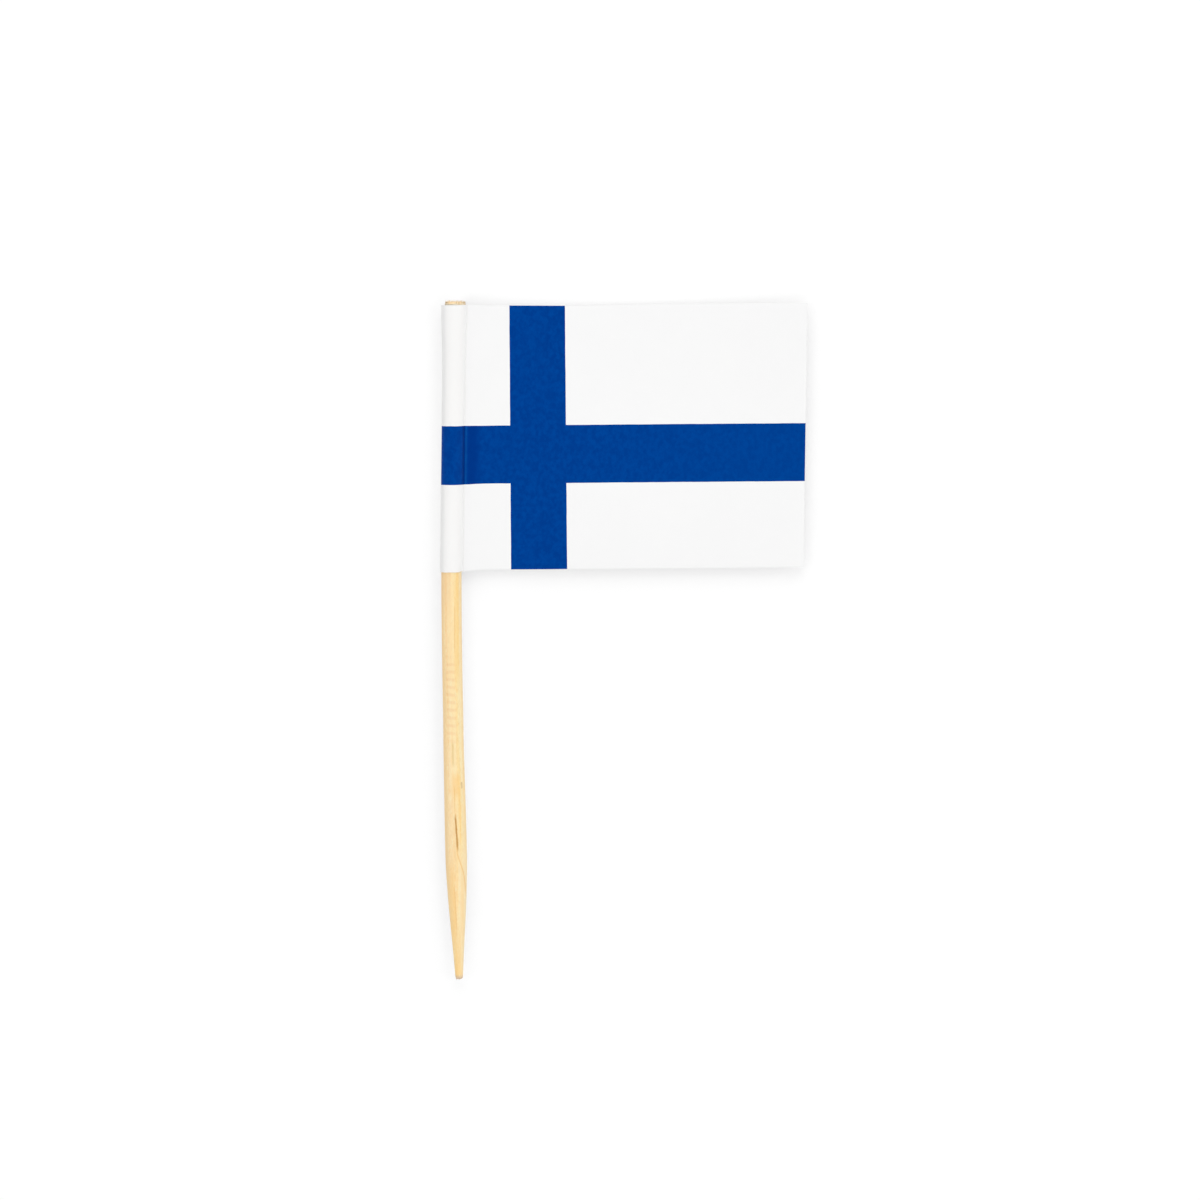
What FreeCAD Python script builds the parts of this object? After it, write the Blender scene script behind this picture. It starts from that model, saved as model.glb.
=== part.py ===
import FreeCAD, Part
import math
import os

# Flag toothpick: a round wooden pick with a small printed paper flag folded round it.
# Lengths are in millimetres and angles in degrees. The part lies as it comes to rest:
# +Z is up, +Y points to the sawn head of the pick, +X to the free edge of the flag.

# The pick is a milled round stick, sawn flat at the head and tapered at the other end
pick_length = 65.0
pick_diameter = 1.94
point_length = 10.6
tip_diameter = 0.66
tip_rounding = 0.22
head_edge_break = 0.05

# The stick dried with a slight bow that runs from the head down to a straight shank
straight_length = 14.0
bow_radius = 775.0

# The flag is one paper strip, folded round the stick and glued back to back
paper_thickness = 0.1
flag_height = 25.3
flag_length = 35.0
bare_head = 0.44
glue_film = 0.01

# The paper leaves the round of the stick at fold_angle and turns into the double leaf
fold_angle = 15.0
fold_radius = 0.08
leaf_curl_radius = 150.0

# The sleeve and the free edge lean this far from square with the printed cross
sleeve_lean = 1.2

# The cross is printed off centre on both faces, and its level bar runs round the sleeve
field_above_level_bar = 11.5
level_bar_width = 5.55
hoist_to_upright_bar = 6.65
upright_bar_width = 5.3
ink_depth = 0.02

up = FreeCAD.Vector(0, 0, 1)
along = FreeCAD.Vector(0, 1, 0)
middle = FreeCAD.Vector(0, 0, 0)

# A straight sleeve holds a bowed stick, so it has half of the bow as room on each side
pick_radius = pick_diameter / 2
half_bow_in_sleeve = flag_height ** 2 / (16 * bow_radius)
sleeve_inner_radius = pick_radius + half_bow_in_sleeve + glue_film
sleeve_outer_radius = sleeve_inner_radius + paper_thickness

fold = math.radians(fold_angle)
lean = math.radians(sleeve_lean)

# The centre line of both folds stands over this point, where the leaf begins
leaf_start = (
    sleeve_outer_radius + fold_radius - (paper_thickness + fold_radius) * math.sin(fold)
) / math.cos(fold)

# The round sleeve rolls until the leaf, which curls up from the table, rests on it
tangent_height = leaf_curl_radius - sleeve_outer_radius + paper_thickness
lie = math.acos(tangent_height / math.hypot(leaf_curl_radius, leaf_start)) - math.atan2(
    leaf_start, leaf_curl_radius
)
leaf_reach = flag_length - sleeve_outer_radius - leaf_start * math.cos(lie)
leaf_turn = lie + math.asin(leaf_reach / leaf_curl_radius - math.sin(lie))


def round_point(centre_x, centre_z, radius, degrees):
    """A point of a circle in the flag's section, which lies in the XZ plane."""
    turn = math.radians(degrees)
    return FreeCAD.Vector(
        centre_x + radius * math.cos(turn), 0, centre_z + radius * math.sin(turn)
    )


def leaf_point(height, turn):
    """A point of the curled leaf, this high over its glued middle."""
    reach = leaf_curl_radius - height
    return FreeCAD.Vector(
        leaf_start + reach * math.sin(turn), 0, leaf_curl_radius - reach * math.cos(turn)
    )


def arc(first, between, last):
    return Part.Arc(first, between, last).toShape()


def line(first, last):
    return Part.LineSegment(first, last).toShape()


def leaf_edge(height):
    """The leaf's line in the section, from the free edge to the fold."""
    return arc(
        leaf_point(height, leaf_turn), leaf_point(height, leaf_turn / 2), leaf_point(height, 0)
    )


def fold_edges(side, depth):
    """One fold and the straight flank that follows it up to the round of the sleeve."""
    centre_z = side * (paper_thickness + fold_radius)
    radius = fold_radius + depth
    begin = round_point(leaf_start, centre_z, radius, -side * 90)
    between = round_point(leaf_start, centre_z, radius, -side * (135 - fold_angle / 2))
    end = round_point(leaf_start, centre_z, radius, -side * (180 - fold_angle))
    seat = round_point(0, 0, sleeve_outer_radius - depth, side * fold_angle)
    return [arc(begin, between, end), line(end, seat)]


def printed_face(depth):
    """The paper's outer face this deep, from the upper free edge round the stick to the lower."""
    height = paper_thickness - depth
    radius = sleeve_outer_radius - depth
    sleeve = arc(
        round_point(0, 0, radius, fold_angle),
        round_point(0, 0, radius, 180),
        round_point(0, 0, radius, -fold_angle),
    )
    upper = [leaf_edge(height)] + fold_edges(1, depth)
    lower = fold_edges(-1, depth)[::-1] + [leaf_edge(-height)]
    return upper + [sleeve] + lower


def free_edge(low, high):
    return line(leaf_point(low, leaf_turn), leaf_point(high, leaf_turn))


def sleeve_bore():
    """The inner face of the sleeve, which closes to a seam where the halves meet."""
    seam = FreeCAD.Vector(sleeve_inner_radius / math.cos(fold), 0, 0)
    above = round_point(0, 0, sleeve_inner_radius, fold_angle)
    below = round_point(0, 0, sleeve_inner_radius, -fold_angle)
    opposite = round_point(0, 0, sleeve_inner_radius, 180)
    return [arc(above, opposite, below), line(below, seam), line(seam, above)]


# The strip is folded longer than the flag, because the cuts run askew to the sleeve
strip_length = flag_height + 2 * flag_length * math.tan(lean) + 2 * paper_thickness


def laid(section):
    """Draw a section out along the stick and lay it on the table beside the pick's centre."""
    strip = Part.Face(Part.Wire(section)).extrude(along * strip_length)
    strip.translate(along * (-strip_length / 2))
    strip.rotate(middle, along, math.degrees(lie))
    strip.rotate(middle, up, -sleeve_lean)
    strip.translate(up * sleeve_outer_radius)
    return strip


def field(left, right, bottom, top):
    """A rectangle of the flag seen from above, deep enough to pass through all of it."""
    depth = 4 * sleeve_outer_radius
    low = FreeCAD.Vector(left, bottom, -depth / 4)
    return Part.makeBox(right - left, top - bottom, depth, low)


def bow_point(turn):
    """A point of the bowed stick's centre line, this far round from the straight shank."""
    return FreeCAD.Vector(bow_radius * (1 - math.cos(turn)), bow_radius * math.sin(turn), 0)


def end_rim(shape, centre):
    """The round edge of the shape's flat end that has this centre."""
    ends = [face for face in shape.Faces if isinstance(face.Surface, Part.Plane)]
    return min(ends, key=lambda end: end.CenterOfMass.distanceToPoint(centre)).Edges


def make_pick():
    """The stick, made along its straight shank and then turned to lie in the sleeve."""
    bow_turn = (pick_length - point_length - straight_length - bare_head) / bow_radius
    rim = Part.Face(Part.Wire(Part.makeCircle(pick_radius, middle, along)))
    bowed = rim.revolve(FreeCAD.Vector(bow_radius, 0, 0), -up, math.degrees(bow_turn))

    out = FreeCAD.Vector(math.sin(bow_turn), math.cos(bow_turn), 0)
    neck = bow_point(bow_turn)
    head = Part.makeCylinder(pick_radius, bare_head, neck, out)
    head = head.makeChamfer(head_edge_break, end_rim(head, neck + out * bare_head))

    shoulder = -along * straight_length
    shank = Part.makeCylinder(pick_radius, straight_length, middle, -along)
    point = Part.makeCone(pick_radius, tip_diameter / 2, point_length, shoulder, -along)
    tip = shoulder - along * point_length
    point = point.makeFillet(tip_rounding, end_rim(point, tip))

    pick = bowed.fuse([head, shank, point]).removeSplitter().Solids[0]
    held = bow_turn - flag_height / 2 / bow_radius
    pick.translate(-bow_point(held))
    pick.rotate(middle, up, math.degrees(held))
    pick.translate(FreeCAD.Vector(-half_bow_in_sleeve, 0, sleeve_outer_radius))
    pick.rotate(middle, up, -sleeve_lean)
    return pick


def make_flag():
    """The folded paper with shallow recesses for the ink, and the ink that fills them."""
    outside = laid(printed_face(0) + [free_edge(-paper_thickness, paper_thickness)])
    folded = outside.cut(laid(sleeve_bore()))
    bared = printed_face(ink_depth)[::-1]
    height = paper_thickness - ink_depth
    skin = laid(
        printed_face(0)
        + [free_edge(-paper_thickness, -height)]
        + bared
        + [free_edge(height, paper_thickness)]
    )
    top = flag_height / 2
    sheet = field(-flag_length, 2 * flag_length, -top, top)
    bar_top = top - field_above_level_bar
    level_bar = field(-flag_length, 2 * flag_length, bar_top - level_bar_width, bar_top)
    bar_left = hoist_to_upright_bar - sleeve_outer_radius
    upright_bar = field(bar_left, bar_left + upright_bar_width, -top, top)
    ink = skin.common(sheet).common(level_bar.fuse(upright_bar))
    paper = folded.common(sheet).cut(ink)
    return paper, ink


pick = make_pick()
paper_flag, cross_print = make_flag()
pieces = {"pick": pick, "paper_flag": paper_flag, "cross_print": cross_print}

# The origin is on the table, under the middle of the whole part
box = Part.makeCompound(list(pieces.values())).optimalBoundingBox(False)
os.makedirs("parts", exist_ok=True)
for name, piece in pieces.items():
    piece.translate(FreeCAD.Vector(-box.Center.x, -box.Center.y, 0))
    piece.exportStep("parts/" + name + ".step")
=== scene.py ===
import math
import random

import bpy
from mathutils import Matrix, Vector


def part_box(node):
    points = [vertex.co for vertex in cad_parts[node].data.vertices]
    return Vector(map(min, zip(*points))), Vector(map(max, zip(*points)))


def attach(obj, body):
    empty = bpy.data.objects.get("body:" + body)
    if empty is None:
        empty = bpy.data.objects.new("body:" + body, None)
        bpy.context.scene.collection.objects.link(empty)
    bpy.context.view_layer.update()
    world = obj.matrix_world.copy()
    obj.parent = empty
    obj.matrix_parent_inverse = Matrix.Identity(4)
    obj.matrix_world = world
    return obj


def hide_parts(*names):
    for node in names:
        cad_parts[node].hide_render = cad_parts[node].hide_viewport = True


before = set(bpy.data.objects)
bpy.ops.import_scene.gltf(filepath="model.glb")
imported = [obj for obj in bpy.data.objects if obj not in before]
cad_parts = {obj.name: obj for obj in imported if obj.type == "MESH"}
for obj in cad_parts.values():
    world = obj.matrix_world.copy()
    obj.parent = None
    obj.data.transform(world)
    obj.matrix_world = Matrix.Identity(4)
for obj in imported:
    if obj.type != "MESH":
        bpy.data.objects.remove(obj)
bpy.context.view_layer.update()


# The pick is a round stick of birch, milled to size between cutters, sawn off at the head
# and ground to a blunt point. It dried with a slight bow that ends in a straight shank, and
# the glued paper sleeve holds it by the bow.
mm = 0.001
pick_length = 65.0 * mm
pick_radius = 0.97 * mm
point_length = 10.6 * mm
point_swell = 0.085 * mm
tip_radius = 0.355 * mm
tip_rounding = 0.22 * mm
head_edge_break = 0.05 * mm
head_length = 0.44 * mm
head_overrun = -0.03 * mm
tip_overrun = 0.18 * mm
straight_length = 14.0 * mm
bow_radius = 775.0 * mm
sleeve_lean = math.radians(1.2)
flag_height = 25.3 * mm
paper_thickness = 0.1 * mm
glue_film = 0.01 * mm

# A straight sleeve holds a bowed stick, so it has half of the bow as room on each side
half_bow_in_sleeve = flag_height ** 2 / (16 * bow_radius)
sleeve_radius = pick_radius + half_bow_in_sleeve + glue_film + paper_thickness

flag_low, flag_high = (Vector(corner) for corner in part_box("paper_flag"))
sleeve_middle = Vector((
    flag_low.x + sleeve_radius / math.cos(sleeve_lean) + flag_height / 2 * math.tan(sleeve_lean),
    (flag_low.y + flag_high.y) / 2,
    sleeve_radius,
))

bow_length = pick_length - point_length - straight_length - head_length
turn_at_flag = (bow_length - flag_height / 2) / bow_radius
bow_seat = Vector((
    -bow_radius * (1 - math.cos(turn_at_flag)),
    -bow_radius * math.sin(turn_at_flag),
    0,
))
bow_seat.rotate(Matrix.Rotation(turn_at_flag, 3, "Z"))
bow_seat.x -= half_bow_in_sleeve
bow_seat.rotate(Matrix.Rotation(-sleeve_lean, 3, "Z"))
bow_seat += sleeve_middle


def put(tree, kind, inputs=(), **settings):
    """Adds a node; inputs gives sockets to join or values to set, by name or by place."""
    made = tree.nodes.new(kind)
    for name, value in settings.items():
        setattr(made, name, value)
    for socket, value in dict(inputs).items():
        if isinstance(value, bpy.types.NodeSocket):
            tree.links.new(value, made.inputs[socket])
        else:
            made.inputs[socket].default_value = value
    return made


def out(tree, kind, inputs=(), **settings):
    """Adds a node and gives its first output."""
    return put(tree, kind, inputs, **settings).outputs[0]


def reckon(tree, operation, *terms):
    """One step of arithmetic on numbers."""
    return out(tree, "ShaderNodeMath", enumerate(terms), operation=operation)


def times(tree, first, *others):
    """The product of some numbers."""
    for other in others:
        first = reckon(tree, "MULTIPLY", first, other)
    return first


def less(tree, first, second):
    """The first number less the second."""
    return reckon(tree, "SUBTRACT", first, second)


def shift(tree, operation, *terms):
    """One step of arithmetic on places."""
    return out(tree, "ShaderNodeVectorMath", enumerate(terms), operation=operation)


def place_of(tree, x=0.0, y=0.0, z=0.0):
    return out(tree, "ShaderNodeCombineXYZ", enumerate((x, y, z)))


def sides_of(tree, place):
    return put(tree, "ShaderNodeSeparateXYZ", {0: place}).outputs


def length_of(tree, place):
    return put(tree, "ShaderNodeVectorMath", {0: place}, operation="LENGTH").outputs["Value"]


def eased(tree, value, begin, end, low=0.0, high=1.0):
    """Goes softly from low to high while the value goes from begin to end."""
    range_of = {"Value": value, "From Min": begin, "From Max": end, "To Min": low, "To Max": high}
    return out(tree, "ShaderNodeMapRange", range_of, interpolation_type="SMOOTHSTEP")


def between(tree, value, begin, full, last, end):
    """Rises softly from 0 to 1 and falls back."""
    return less(tree, eased(tree, value, begin, full), eased(tree, value, last, end))


def grain(tree, place, detail=2.0, roughness=0.5, seed=0.0):
    """Even noise from 0 to 1 at a place that is already scaled."""
    looks = {"Vector": place, "W": seed, "Scale": 1.0, "Detail": detail, "Roughness": roughness}
    return out(tree, "ShaderNodeTexNoise", looks, noise_dimensions="4D")


def new_tree(name, kind, given, made):
    """A node tree with named inputs and outputs, and its two end nodes."""
    tree = bpy.data.node_groups.new(name, kind)
    for way, sockets in (("INPUT", given), ("OUTPUT", made)):
        for socket, sort in sockets.items():
            tree.interface.new_socket(socket, in_out=way, socket_type="NodeSocket" + sort)
    return tree, put(tree, "NodeGroupInput").outputs, put(tree, "NodeGroupOutput").inputs


def sorts_of(sizes):
    """The sort of socket that each size needs: Float, Int, Vector or Material."""
    return {name: type(size).__name__.capitalize() for name, size in sizes.items()}


def point_places(tree):
    """Where the points of a mesh are before the tree moves them."""
    return out(tree, "GeometryNodeInputPosition")


def with_place(tree, shape, name, place):
    """Keeps a place on each point of a shape, for its finish to read."""
    kept = {"Geometry": shape, "Name": name, "Value": place}
    store = "GeometryNodeStoreNamedAttribute"
    return out(tree, store, kept, data_type="FLOAT_VECTOR", domain="POINT")


def turned_about(tree, axis, place, angle):
    turn = {"Vector": place, "Angle": angle}
    return out(tree, "ShaderNodeVectorRotate", turn, rotation_type=axis + "_AXIS")


def finished(tree, shape, finish):
    """Makes one plain mesh of what a tree has built, in one finish."""
    whole = out(tree, "GeometryNodeRealizeInstances", {0: shape})
    return out(tree, "GeometryNodeSetMaterial", {"Geometry": whole, "Material": finish})


crease_angle = math.radians(48)


def worked(piece, tree, sizes):
    """Runs a tree over a raw piece and keeps the outcome as the piece's plain mesh."""
    tool = piece.modifiers.new(tree.name, "NODES")
    tool.node_group = tree
    for socket in tree.interface.items_tree:
        if socket.name in sizes:
            tool[socket.identifier] = sizes[socket.name]
    ready = bpy.context.evaluated_depsgraph_get()
    mesh = bpy.data.meshes.new_from_object(piece.evaluated_get(ready), depsgraph=ready)
    piece.modifiers.remove(tool)
    piece.data = mesh
    mesh.shade_smooth()
    mesh.set_sharp_from_angle(angle=crease_angle)
    return piece


scene = bpy.context.scene


def raw_piece(name, points, edges, faces):
    mesh = bpy.data.meshes.new(name)
    mesh.from_pydata(points, edges, faces)
    piece = bpy.data.objects.new(name, mesh)
    scene.collection.objects.link(piece)
    return piece


# Fibres lie in each finish here: fine streaks, and clouds about six times as wide
fibre_tree, given, made = new_tree(
    "fibres",
    "ShaderNodeTree",
    {"Place": "Vector", "Across": "Float", "Along": "Float", "Seed": "Float"},
    {"Streaks": "Float", "Clouds": "Float"},
)
cloud_share = 0.16
stretch = place_of(fibre_tree, given["Across"], given["Along"], given["Across"])
fibre_place = shift(fibre_tree, "MULTIPLY", given["Place"], stretch)
fibre_tree.links.new(grain(fibre_tree, fibre_place, 4.0, 0.62, given["Seed"]), made["Streaks"])
cloud_place = shift(fibre_tree, "MULTIPLY", fibre_place, (cloud_share,) * 3)
fibre_tree.links.new(grain(fibre_tree, cloud_place, 2.0, 0.5, given["Seed"]), made["Clouds"])


def new_finish(name, roughness, specular):
    """A material, its node tree and its Principled shader."""
    finish = bpy.data.materials.new(name)
    finish.use_nodes = True
    shader = finish.node_tree.nodes["Principled BSDF"]
    shader.inputs["Roughness"].default_value = roughness
    shader.inputs["Specular IOR Level"].default_value = specular
    return finish, finish.node_tree, shader


def own_place(tree, name):
    place = put(tree, "ShaderNodeAttribute", attribute_name=name).outputs["Vector"]
    return shift(tree, "MULTIPLY", place, (1 / mm, 1 / mm, 1 / mm))


def blended(tree, share, first, second):
    """Mixes two colours; a share is a number or a socket."""
    return put(tree, "ShaderNodeMix", {0: share, 6: first, 7: second}, data_type="RGBA").outputs[2]


def coloured(tree, shader, colour, bounce):
    """Joins a colour to the shader; what the piece throws on the table round it stays grey."""
    onto_table = put(tree, "ShaderNodeLightPath").outputs["Is Diffuse Ray"]
    seen_colour = blended(tree, onto_table, colour, (bounce, bounce, bounce, 1))
    tree.links.new(seen_colour, shader.inputs["Base Color"])


def set_relief(tree, shader, height, distance, strength=1.0):
    sizes = {"Height": height, "Distance": distance, "Strength": strength}
    tree.links.new(out(tree, "ShaderNodeBump", sizes), shader.inputs["Normal"])


# A ragged line, from 0 to 1: a mark in the wood's grain, or a coating that broke at a fold
wear_tree, given, made = new_tree(
    "line wear",
    "ShaderNodeTree",
    {"Place": "Vector", "From line": "Float", "Width": "Float", "Seed": "Float"},
    {"Mask": "Float"},
)
ragged_place = shift(wear_tree, "MULTIPLY", given["Place"], (9.0, 2.4, 9.0))
ragged = grain(wear_tree, ragged_place, 3.0, 0.6, given["Seed"])
reach = times(wear_tree, given["Width"], reckon(wear_tree, "MULTIPLY_ADD", ragged, 2.0, 0.1))
off_line = reckon(wear_tree, "ABSOLUTE", given["From line"])
wear_tree.links.new(eased(wear_tree, off_line, reach, 0.0), made["Mask"])


def grouped(tree, group_tree, **looks):
    """Places a shared shader group; spaces in its inputs' names are underscores here."""
    group = tree.nodes.new("ShaderNodeGroup")
    group.node_tree = group_tree
    for name, value in looks.items():
        socket = group.inputs[name.replace("_", " ")]
        if isinstance(value, bpy.types.NodeSocket):
            tree.links.new(value, socket)
        else:
            socket.default_value = value
    return group.outputs


# Birch: golden, cream and rosy streaks along the stick, short pores, marks of the cutters
# across it, a brown crack that runs out along a growth ring, and grey ends with torn fibres
birch, tree, shader = new_finish("birch", 0.58, 0.16)
place = own_place(tree, "stick_place")
side, down, high = sides_of(tree, place)
wide = grouped(tree, fibre_tree, Place=place, Across=2.3, Along=0.05, Seed=3.1)
fine = grouped(tree, fibre_tree, Place=place, Across=9.0, Along=0.42, Seed=8.4)
flecks = grouped(tree, fibre_tree, Place=place, Across=5.6, Along=1.5, Seed=2.2)
fuzz = grouped(tree, fibre_tree, Place=place, Across=7.5, Along=3.0, Seed=6.1)
streak_node = put(tree, "ShaderNodeValToRGB", {"Fac": wide["Streaks"]})
streaks = streak_node.color_ramp
streaks.elements[0].position, streaks.elements[0].color = 0.36, (1.0, 0.67, 0.262, 1)
streaks.elements[1].position, streaks.elements[1].color = 0.64, (1.0, 0.86, 0.51, 1)
streaks.elements.new(0.5).color = (1.0, 0.765, 0.375, 1)
colour = streak_node.outputs[0]


def tinted(share, strength, tint):
    """The wood's colour so far, with a tint laid over it where the share says."""
    return blended(tree, times(tree, share, strength), colour, (*tint, 1))


# Each has what it follows, where it begins and is full, its strength and its tint. The right
# side of the stick is painted paler, as painted light, and its left side browner, as painted shade.
fibre_tints_and_painted_light = {
    "rosy clouds": (wide["Clouds"], 0.5, 0.68, 0.6, (1.0, 0.735, 0.46)),
    "dark flecks": (flecks["Streaks"], 0.54, 0.66, 0.6, (0.985, 0.66, 0.30)),
    "pale flecks": (flecks["Streaks"], 0.46, 0.34, 0.65, (1.0, 0.88, 0.57)),
    "fuzz": (fuzz["Streaks"], 0.4, 0.64, 0.24, (0.80, 0.55, 0.27)),
    "pores": (fine["Streaks"], 0.40, 0.24, 0.5, (0.74, 0.44, 0.16)),
    # Painted light on the stick's right side and painted shade on its left side
    "painted light, right side": (side, 0.5, 0.85, 0.3, (1.0, 0.82, 0.56)),
    "painted shade, left side": (side, -0.6, -0.9, 0.65, (0.90, 0.64, 0.34)),
}
for followed, begin, full, strength, tint in fibre_tints_and_painted_light.values():
    colour = tinted(eased(tree, followed, begin, full), strength, tint)

# Broad bands of late and early wood: golden below the flag and on the point, cream between.
# Each has its two ends down the stick, its two edges, its strength and its tint.
bands = {
    "golden, right of the shank": (26.0, 36.0, 0.34, 0.60, 0.6, (0.99, 0.67, 0.26)),
    "cream, down the shank": (25.0, 47.0, -0.30, 0.12, 0.4, (1.0, 0.84, 0.50)),
    "golden, left of the point": (54.0, 62.0, -0.62, -0.25, 0.55, (0.99, 0.65, 0.26)),
    "cream, right of the point": (53.0, 66.0, 0.28, 0.95, 0.5, (1.0, 0.81, 0.52)),
    "golden, on the tip": (60.5, 66.0, -0.14, 0.14, 0.5, (0.98, 0.67, 0.31)),
    "brown, below the flag": (23.0, 29.0, -1.1, -0.15, 0.35, (0.90, 0.61, 0.33)),
}
end_ease = 2.0
edge_ease = 0.18
for begin, end, left, right, strength, tint in bands.values():
    along = between(tree, down, begin - end_ease, begin + end_ease, end - end_ease, end + end_ease)
    across = between(tree, side, left - edge_ease, left, right, right + edge_ease)
    colour = tinted(times(tree, across, along), strength, tint)
along = between(tree, down, 44.8, 45.8, 46.8, 48.0)
across = between(tree, side, -0.3, 0.0, 0.35, 0.7)
knot_glow = times(tree, along, across)
colour = tinted(knot_glow, 0.5, (0.97, 0.61, 0.23))

# Cutter marks cross the stick as a ladder below the flag
rung_spacing = 0.74
uneven = times(tree, flecks["Clouds"], 4.0)
ladder = reckon(tree, "MULTIPLY_ADD", down, 2 * math.pi / rung_spacing, uneven)
rungs = eased(tree, reckon(tree, "SINE", ladder), -0.4, 1.0)
along = between(tree, down, 33.2, 35.0, 41.0, 43.5)
across = between(tree, side, -0.75, -0.45, 0.1, 0.45)
colour = tinted(times(tree, rungs, along, across), 0.30, (0.88, 0.53, 0.24))

# Thin marks on the upper side, which run along the grain. Each has its two ends, the side it
# starts on, its drift to the right, its width, its strength and its tint.
grain_lines = {
    "growth ring": (52.0, 57.5, 0.08, 0.05, 0.11, 0.5, (0.86, 0.47, 0.13)),
    "line below the flag": (28.5, 34.0, 0.34, -0.012, 0.07, 0.45, (0.84, 0.46, 0.15)),
    "line on the point": (55.5, 61.5, -0.24, 0.03, 0.07, 0.45, (0.84, 0.46, 0.15)),
    "stain": (42.0, 44.8, -0.08, 0.01, 0.15, 0.4, (0.66, 0.45, 0.15)),
    "speck": (46.0, 46.8, 0.70, 0.0, 0.12, 0.6, (0.60, 0.38, 0.16)),
    "hair line": (46.2, 49.6, 0.02, -0.01, 0.07, 0.5, (0.85, 0.50, 0.15)),
    "crack": (48.9, 53.0, 0.01, 0.045, 0.13, 0.95, (0.52, 0.23, 0.03)),
}
ring_bend = eased(tree, down, 52.6, 55.4, 0, 0.5)
on_top = eased(tree, high, 0.0, 0.2)
fading_share = 0.22
drawn_lines = {}
for name, (begin, end, offset, drift, width, strength, tint) in grain_lines.items():
    middle = reckon(tree, "MULTIPLY_ADD", less(tree, down, begin), drift, offset)
    if name == "growth ring":
        middle = reckon(tree, "ADD", middle, ring_bend)
    beside = less(tree, side, middle)
    worn = grouped(tree, wear_tree, Place=place, From_line=beside, Width=width, Seed=begin)["Mask"]
    fade = (end - begin) * fading_share
    along = between(tree, down, begin, begin + fade, end - fade, end)
    drawn_lines[name] = times(tree, worn, along, on_top)
    colour = tinted(drawn_lines[name], strength, tint)

# End grain is paler and duller, with burnt fibres at the saw cut, painted shade at both sides
# of the rim at the head, and a grey blunt tip
colour = tinted(eased(tree, down, 0.42, 0.12), 0.55, (0.95, 0.70, 0.47))
off_axis = length_of(tree, place_of(tree, side, 0.0, high))
burnt_fibres = eased(tree, fine["Streaks"], 0.5, 0.62)
burnt_fibres = times(tree, burnt_fibres, eased(tree, down, 0.62, 0.3), 0.5)
# Painted shade: the rim at the head darkens at both sides of the stick, where its round turns from
# the lamps; the burnt fibres above are the wood's own
painted_shade_head_sides = eased(tree, reckon(tree, "ABSOLUTE", side), 0.5, 0.85)
at_rim = eased(tree, off_axis, 0.86, 0.93)
painted_shade_head_sides = times(tree, painted_shade_head_sides, at_rim, eased(tree, down, 0.7, 0.3, 0, 0.5))
colour = tinted(reckon(tree, "MAXIMUM", burnt_fibres, painted_shade_head_sides), 1.0, (0.30, 0.22, 0.13))

# The sawn face shows open vessels and the tree's rings, whose pith lay outside the stick
pith_side, pith_height = -3.4, 1.3
ring_spacing = 0.42
to_side = less(tree, side, pith_side)
from_pith = length_of(tree, place_of(tree, to_side, 0.0, less(tree, high, pith_height)))
vessels = grain(tree, shift(tree, "MULTIPLY", place, (36.0, 1.0, 36.0)), 1.0, 0.5, 5.5)
uneven = times(tree, vessels, 1.2)
rings_across = reckon(tree, "MULTIPLY_ADD", from_pith, 2 * math.pi / ring_spacing, uneven)
rings_across = eased(tree, reckon(tree, "SINE", rings_across), -0.2, 1.0, 0, 0.55)
sawn_marks = reckon(tree, "MAXIMUM", rings_across, eased(tree, vessels, 0.60, 0.70, 0, 0.6))
on_face = times(tree, eased(tree, off_axis, 0.95, 0.90), eased(tree, down, 0.2, 0.06))
colour = tinted(times(tree, sawn_marks, on_face), 1.0, (0.66, 0.42, 0.20))
colour = tinted(eased(tree, down, 64.6, 65.15), 0.6, (0.55, 0.42, 0.40))
coloured(tree, shader, colour, 0.85)
dull = reckon(tree, "MULTIPLY_ADD", fine["Streaks"], 0.3, 0.45)
tree.links.new(dull, shader.inputs["Roughness"])
chatter_spacing = 0.36
chatter = reckon(tree, "SINE", times(tree, down, 2 * math.pi / chatter_spacing))
relief = reckon(tree, "MULTIPLY_ADD", chatter, 0.05, fine["Streaks"])
relief = less(tree, relief, times(tree, drawn_lines["crack"], 1.5))
set_relief(tree, shader, relief, 0.012 * mm, 0.9)

# Half the stick's outline, from the middle of the sawn head to the middle of the tip
shank_steps = 480
point_steps = 96
edge_steps = 4
rounding_steps = 6
tip_flare = 1.03
point_start = pick_length - point_length
head = -head_overrun
tip = pick_length + tip_overrun
half_profile = [(head, pick_radius * share) for share in (0, 0.16, 0.34, 0.52, 0.7, 0.85)]
for step in range(edge_steps + 1):
    turn = math.radians(90 * step / edge_steps)
    half_profile.append((
        head + head_edge_break * (1 - math.cos(turn)),
        pick_radius - head_edge_break * (1 - math.sin(turn)),
    ))
for step in range(1, shank_steps + 1):
    half_profile.append((
        head + head_edge_break + (point_start - head - head_edge_break) * step / shank_steps,
        pick_radius,
    ))
for step in range(1, point_steps):
    left = (1 - step / point_steps) * (point_length - tip_rounding) / point_length
    left += tip_rounding / point_length
    radius = tip_radius + (pick_radius - tip_radius) * left
    radius += point_swell * math.sin(math.pi * left ** 2)
    half_profile.append((tip - left * (tip - point_start), radius))
for step in range(rounding_steps + 1):
    turn = math.radians(90 * step / rounding_steps)
    half_profile.append((
        tip - tip_rounding * (1 - math.sin(turn)),
        tip_radius * tip_flare - tip_rounding * (1 - math.cos(turn)),
    ))
half_profile += [(tip, tip_radius * share) for share in (0.2, 0)]

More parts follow.
